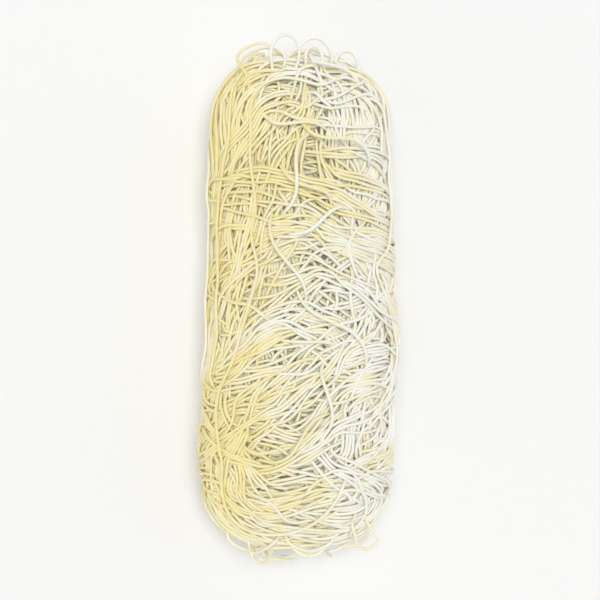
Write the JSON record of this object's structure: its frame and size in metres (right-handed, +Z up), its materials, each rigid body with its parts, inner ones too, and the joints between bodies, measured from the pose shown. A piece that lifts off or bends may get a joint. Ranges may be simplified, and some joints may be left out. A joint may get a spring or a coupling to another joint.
{
  "type": "block of dried rice vermicelli",
  "caption": "Oblong block of dried rice vermicelli: fine ivory noodles folded back and forth into a pad with round ends, loose loops at both ends and a flat underside.",
  "frame": {"origin": "on the resting face, under the middle of the block's bounding box", "axes": "+Y along the block towards its ragged end, +Z up from the resting face, +X across the block"},
  "size_m": [0.0496, 0.1308, 0.038],
  "materials": {
    "rice_noodle": "dry, slightly glossy and translucent ivory rice noodle"
  },
  "bodies": {
    "root": {"noodle_block": "rice_noodle"}
  },
  "joints": []
}
